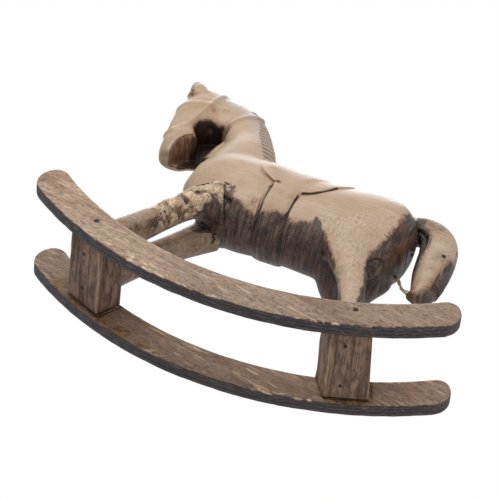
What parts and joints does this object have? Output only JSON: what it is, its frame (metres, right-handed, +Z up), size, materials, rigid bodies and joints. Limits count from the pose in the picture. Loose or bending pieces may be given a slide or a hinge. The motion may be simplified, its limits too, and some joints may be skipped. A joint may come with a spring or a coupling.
{
  "type": "rocking horse ornament",
  "caption": "Carved wooden horse with a cut-in saddle, mane and bridle, standing on crossbars between curved plywood rockers.",
  "frame": {"origin": "on the floor at the lowest point of the rockers, midway between them", "axes": "+X from tail to nose, +Y to the horse's left, +Z up"},
  "size_m": [0.2958, 0.072, 0.2565],
  "materials": {
    "carved_wood": "tan satin lacquer over carved softwood, smoked dark brown underneath",
    "rocker_plywood": "brown stained plywood with charred edges",
    "crossbar_wood": "rough grey-brown stained softwood",
    "dowel_wood": "plain turned beech, glued in",
    "dried_glue": "hardened, slightly cloudy wood glue",
    "nail_steel": "dull dark wire nails"
  },
  "bodies": {
    "root": {"left_rocker": "rocker_plywood", "right_rocker": "rocker_plywood", "front_crossbar": "crossbar_wood", "rear_crossbar": "crossbar_wood", "horse_body": "carved_wood", "left_foreleg": "carved_wood", "right_foreleg": "carved_wood", "left_hind_leg": "carved_wood", "right_hind_leg": "carved_wood", "tail": "carved_wood", "leg_dowels": "dowel_wood", "tail_dowel": "dowel_wood", "glue_strand": "dried_glue", "hoof_nails": "nail_steel", "left_rocker_nails": "nail_steel", "right_rocker_nails": "nail_steel"}
  },
  "joints": []
}
